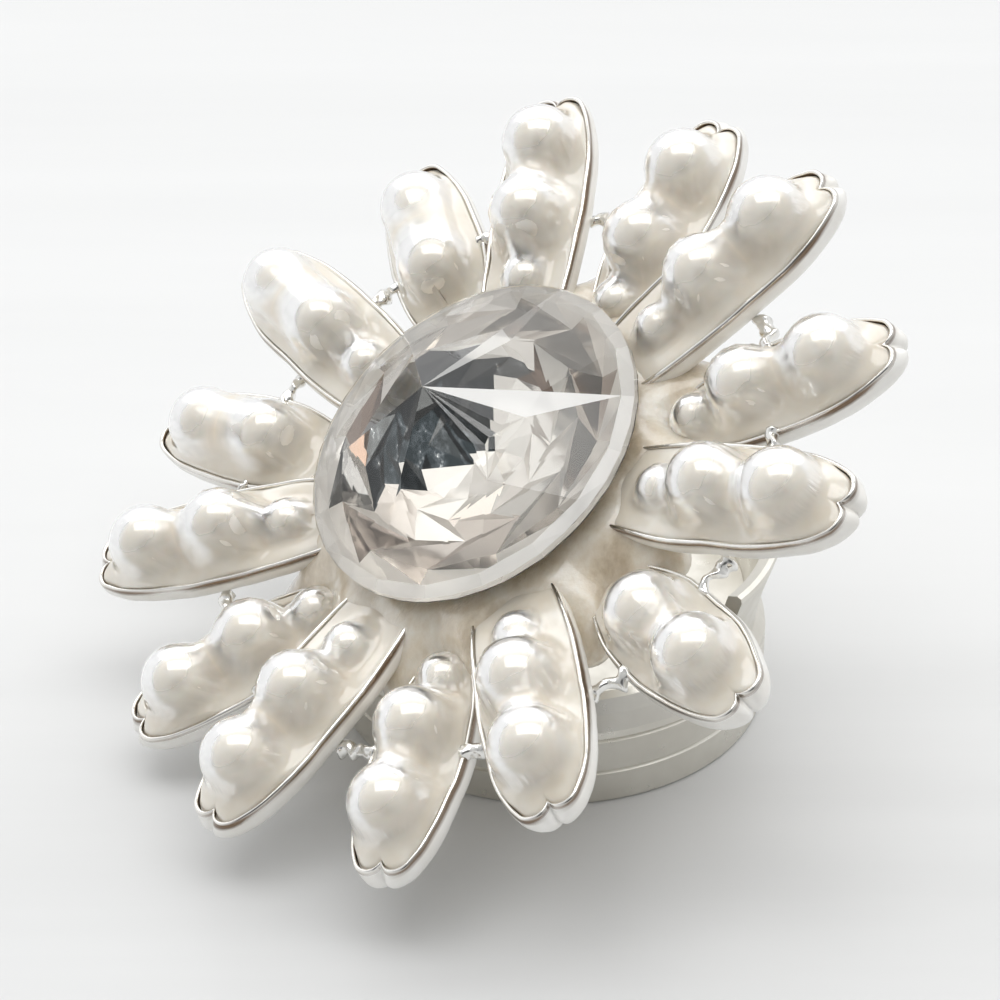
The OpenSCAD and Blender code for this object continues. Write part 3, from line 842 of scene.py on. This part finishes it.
def solder_bridge(n, centre):
    """One bridge between two cups, thick at its ends and lumpy between them."""
    out = centre - CENTRE
    out = (out - AXIS * out.dot(AXIS)).normalized()
    along = AXIS.cross(out)
    rings = []
    for i in range(SOLDER_STEPS + 1):
        t = i / (SOLDER_STEPS // 2) - 1
        lump = noise.noise(Vector((t * 1.7, n * 5.1, 0.3)))
        radius = (0.33 + 0.15 * t * t + 0.26 * lump) if 0 < i < SOLDER_STEPS else 0.05
        middle = centre + (along * t * 1.15 + out * 0.45 * lump - AXIS * 0.5 * (1 - t * t) * lump) * MM
        ring = []
        for side in range(SOLDER_SIDES):
            a = 2 * math.pi * side / SOLDER_SIDES
            bump = 1 + 0.4 * noise.noise(Vector((math.cos(a), math.sin(a), t * 3 + n)))
            ring.append(middle + (out * math.cos(a) + AXIS * math.sin(a)) * radius * bump * MM)
        rings.append(ring)
    return loft(rings)


def build_solder():
    """All the bridges, as one piece."""
    verts, faces = [], []
    for n, (centre, _) in enumerate(islands(NODE["solder_links"])):
        add_part(verts, faces, solder_bridge(n, centre))
    obj = add_object("solder_bridges", verts, faces, SOLDER, FLOWER)
    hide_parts("solder_links")


build_glue_pool()
build_solder()


# ---------------------------------------------------------------- CAD nodes that keep their shape

def dress(name, material):
    """Gives a CAD node its material."""
    obj = NODE[name]
    obj.data.materials.clear()
    obj.data.materials.append(material)


def soften(name, width):
    """Rounds a node's sharp edges, as wear does."""
    bevel = NODE[name].modifiers.new("worn_edges", "BEVEL")
    bevel.width = width * MM
    bevel.segments = 3
    bevel.limit_method = "ANGLE"
    bevel.angle_limit = math.radians(35)
    bevel.harden_normals = True


for node, metal, slot in (
        ("upper_hub", TARNISH, "cup_silver"), ("lower_hub", TARNISH, "cup_silver"),
        ("hub_spacer", TARNISH, "cup_silver"), ("flower_rivet", STEEL, "pin_steel"),
        ("flower_mount", CLIP, "clip_metal"), ("fixed_jaw", CLIP, "clip_metal"),
        ("thumb_jaw", CLIP, "clip_metal"), ("hinge_pin", STEEL, "pin_steel"), ("pin_cap", STEEL, "pin_steel"),
        ("spring_coil", SPRING, "spring_steel"), ("spring_leg", SPRING, "spring_steel")):
    dress(node, metal)

for node, width in (("fixed_jaw", 0.09), ("thumb_jaw", 0.09), ("flower_mount", 0.08), ("hinge_pin", 0.06),
                    ("pin_cap", 0.06), ("flower_rivet", 0.06), ("upper_hub", 0.08), ("lower_hub", 0.08)):
    soften(node, width)


# ---------------------------------------------------------------- camera, floor and light

CAMERA_ELEVATION = math.radians(31.5)
CAMERA_AIM = Vector((-2.76, -6.42, 15.44)) * MM
CAMERA_DISTANCE = 0.1462
LENS = 103.3
FLOOR_HALF = 3.0          # half the floor's side
NEAR_PAPER = 0.0023       # the paper is darker on the viewer's side of this line: a change of paper that also paints shade over the floor in front of the flower
NEAR_FADE = 0.004         # half the width of that change
DIM_ELEVATION = math.radians(22)        # height of the studio's dimmest part, on the viewer's side
SOFTBOX_DISTANCE = 0.5


def make_camera():
    data = bpy.data.cameras.new("camera")
    data.lens = LENS
    data.sensor_width = 36
    data.clip_start = 0.005
    camera = bpy.data.objects.new("camera", data)
    bpy.context.scene.collection.objects.link(camera)
    back = Vector((0, -math.cos(CAMERA_ELEVATION), math.sin(CAMERA_ELEVATION)))
    camera.location = CAMERA_AIM + back * CAMERA_DISTANCE
    camera.rotation_euler = (math.pi / 2 - CAMERA_ELEVATION, 0, 0)
    bpy.context.scene.camera = camera


def make_floor():
    s = Shader("floor", Roughness=0.38, Specular_IOR_Level=0.35)
    streaks = s.noise(30, 5, 0.55, (0.22, 2.4, 1))
    paper = s.ramp(streaks, [(0.3, (0.715, 0.718, 0.715)), (0.7, (0.745, 0.748, 0.745))])
    front = s.ramp(streaks, [(0.3, (0.665, 0.668, 0.665)), (0.7, (0.725, 0.728, 0.725))])
    depth = s.node("ShaderNodeSeparateXYZ")
    s.link(s.coords(), depth.inputs["Vector"])
    # The near paper is darker, painted shade in front of the flower
    near = s.range(depth.outputs["Y"], 1.0, 0.0, NEAR_PAPER - NEAR_FADE, NEAR_PAPER + NEAR_FADE)
    s.feed("Base Color", s.mix(near, paper, front))
    corners = [(x * FLOOR_HALF, y * FLOOR_HALF, 0) for x, y in ((-1, -1), (1, -1), (1, 1), (-1, 1))]
    mesh = bpy.data.meshes.new("floor")
    mesh.from_pydata(corners, [], [(0, 1, 2, 3)])
    floor = bpy.data.objects.new("floor", mesh)
    bpy.context.scene.collection.objects.link(floor)
    floor.data.materials.append(s.material)


def make_world():
    """A pale studio that is dim on the viewer's side, where nothing lights the front."""
    world = bpy.data.worlds.new("studio")
    bpy.context.scene.world = world
    world.use_nodes = True
    nodes, links = world.node_tree.nodes, world.node_tree.links
    where = nodes.new("ShaderNodeTexCoord")
    dot = nodes.new("ShaderNodeVectorMath")
    dot.operation = "DOT_PRODUCT"
    dot.inputs[1].default_value = (0, -math.cos(DIM_ELEVATION), math.sin(DIM_ELEVATION))
    ramp = nodes.new("ShaderNodeValToRGB")
    elements = ramp.color_ramp.elements
    # How bright the studio is, by how nearly a direction points at its dimmest part
    stops = ((0.15, 0.90), (0.55, 0.62), (0.90, 0.52), (0.97, 0.10))
    while len(elements) < len(stops):
        elements.new(0.5)
    for element, (position, tone) in zip(elements, stops):
        element.position = position
        element.color = (tone, tone * 1.005, tone * 1.01, 1)
    links.new(where.outputs["Generated"], dot.inputs[0])
    links.new(dot.outputs["Value"], ramp.inputs["Fac"])
    background = nodes["Background"]
    links.new(ramp.outputs["Color"], background.inputs["Color"])
    background.inputs["Strength"].default_value = 0.985


def make_softbox(name, elevation, azimuth, width, height, power):
    """A rectangular softbox that faces the flower. Azimuth 0 is the viewer's side."""
    e, a = math.radians(elevation), math.radians(azimuth)
    towards = Vector((math.sin(a) * math.cos(e), -math.cos(a) * math.cos(e), math.sin(e)))
    data = bpy.data.lights.new(name, "AREA")
    data.shape = "RECTANGLE"
    data.size, data.size_y = width, height
    data.energy = power
    light = bpy.data.objects.new(name, data)
    bpy.context.scene.collection.objects.link(light)
    light.location = CENTRE + towards * SOFTBOX_DISTANCE
    light.rotation_euler = (-towards).to_track_quat("-Z", "Y").to_euler()


make_camera()
make_floor()
make_world()
make_softbox("ceiling_softbox", 83, 0, 0.60, 0.26, 1.25)
make_softbox("rear_softbox", 48, 180, 0.90, 0.40, 0.85)
bpy.context.scene.view_settings.view_transform = "Standard"
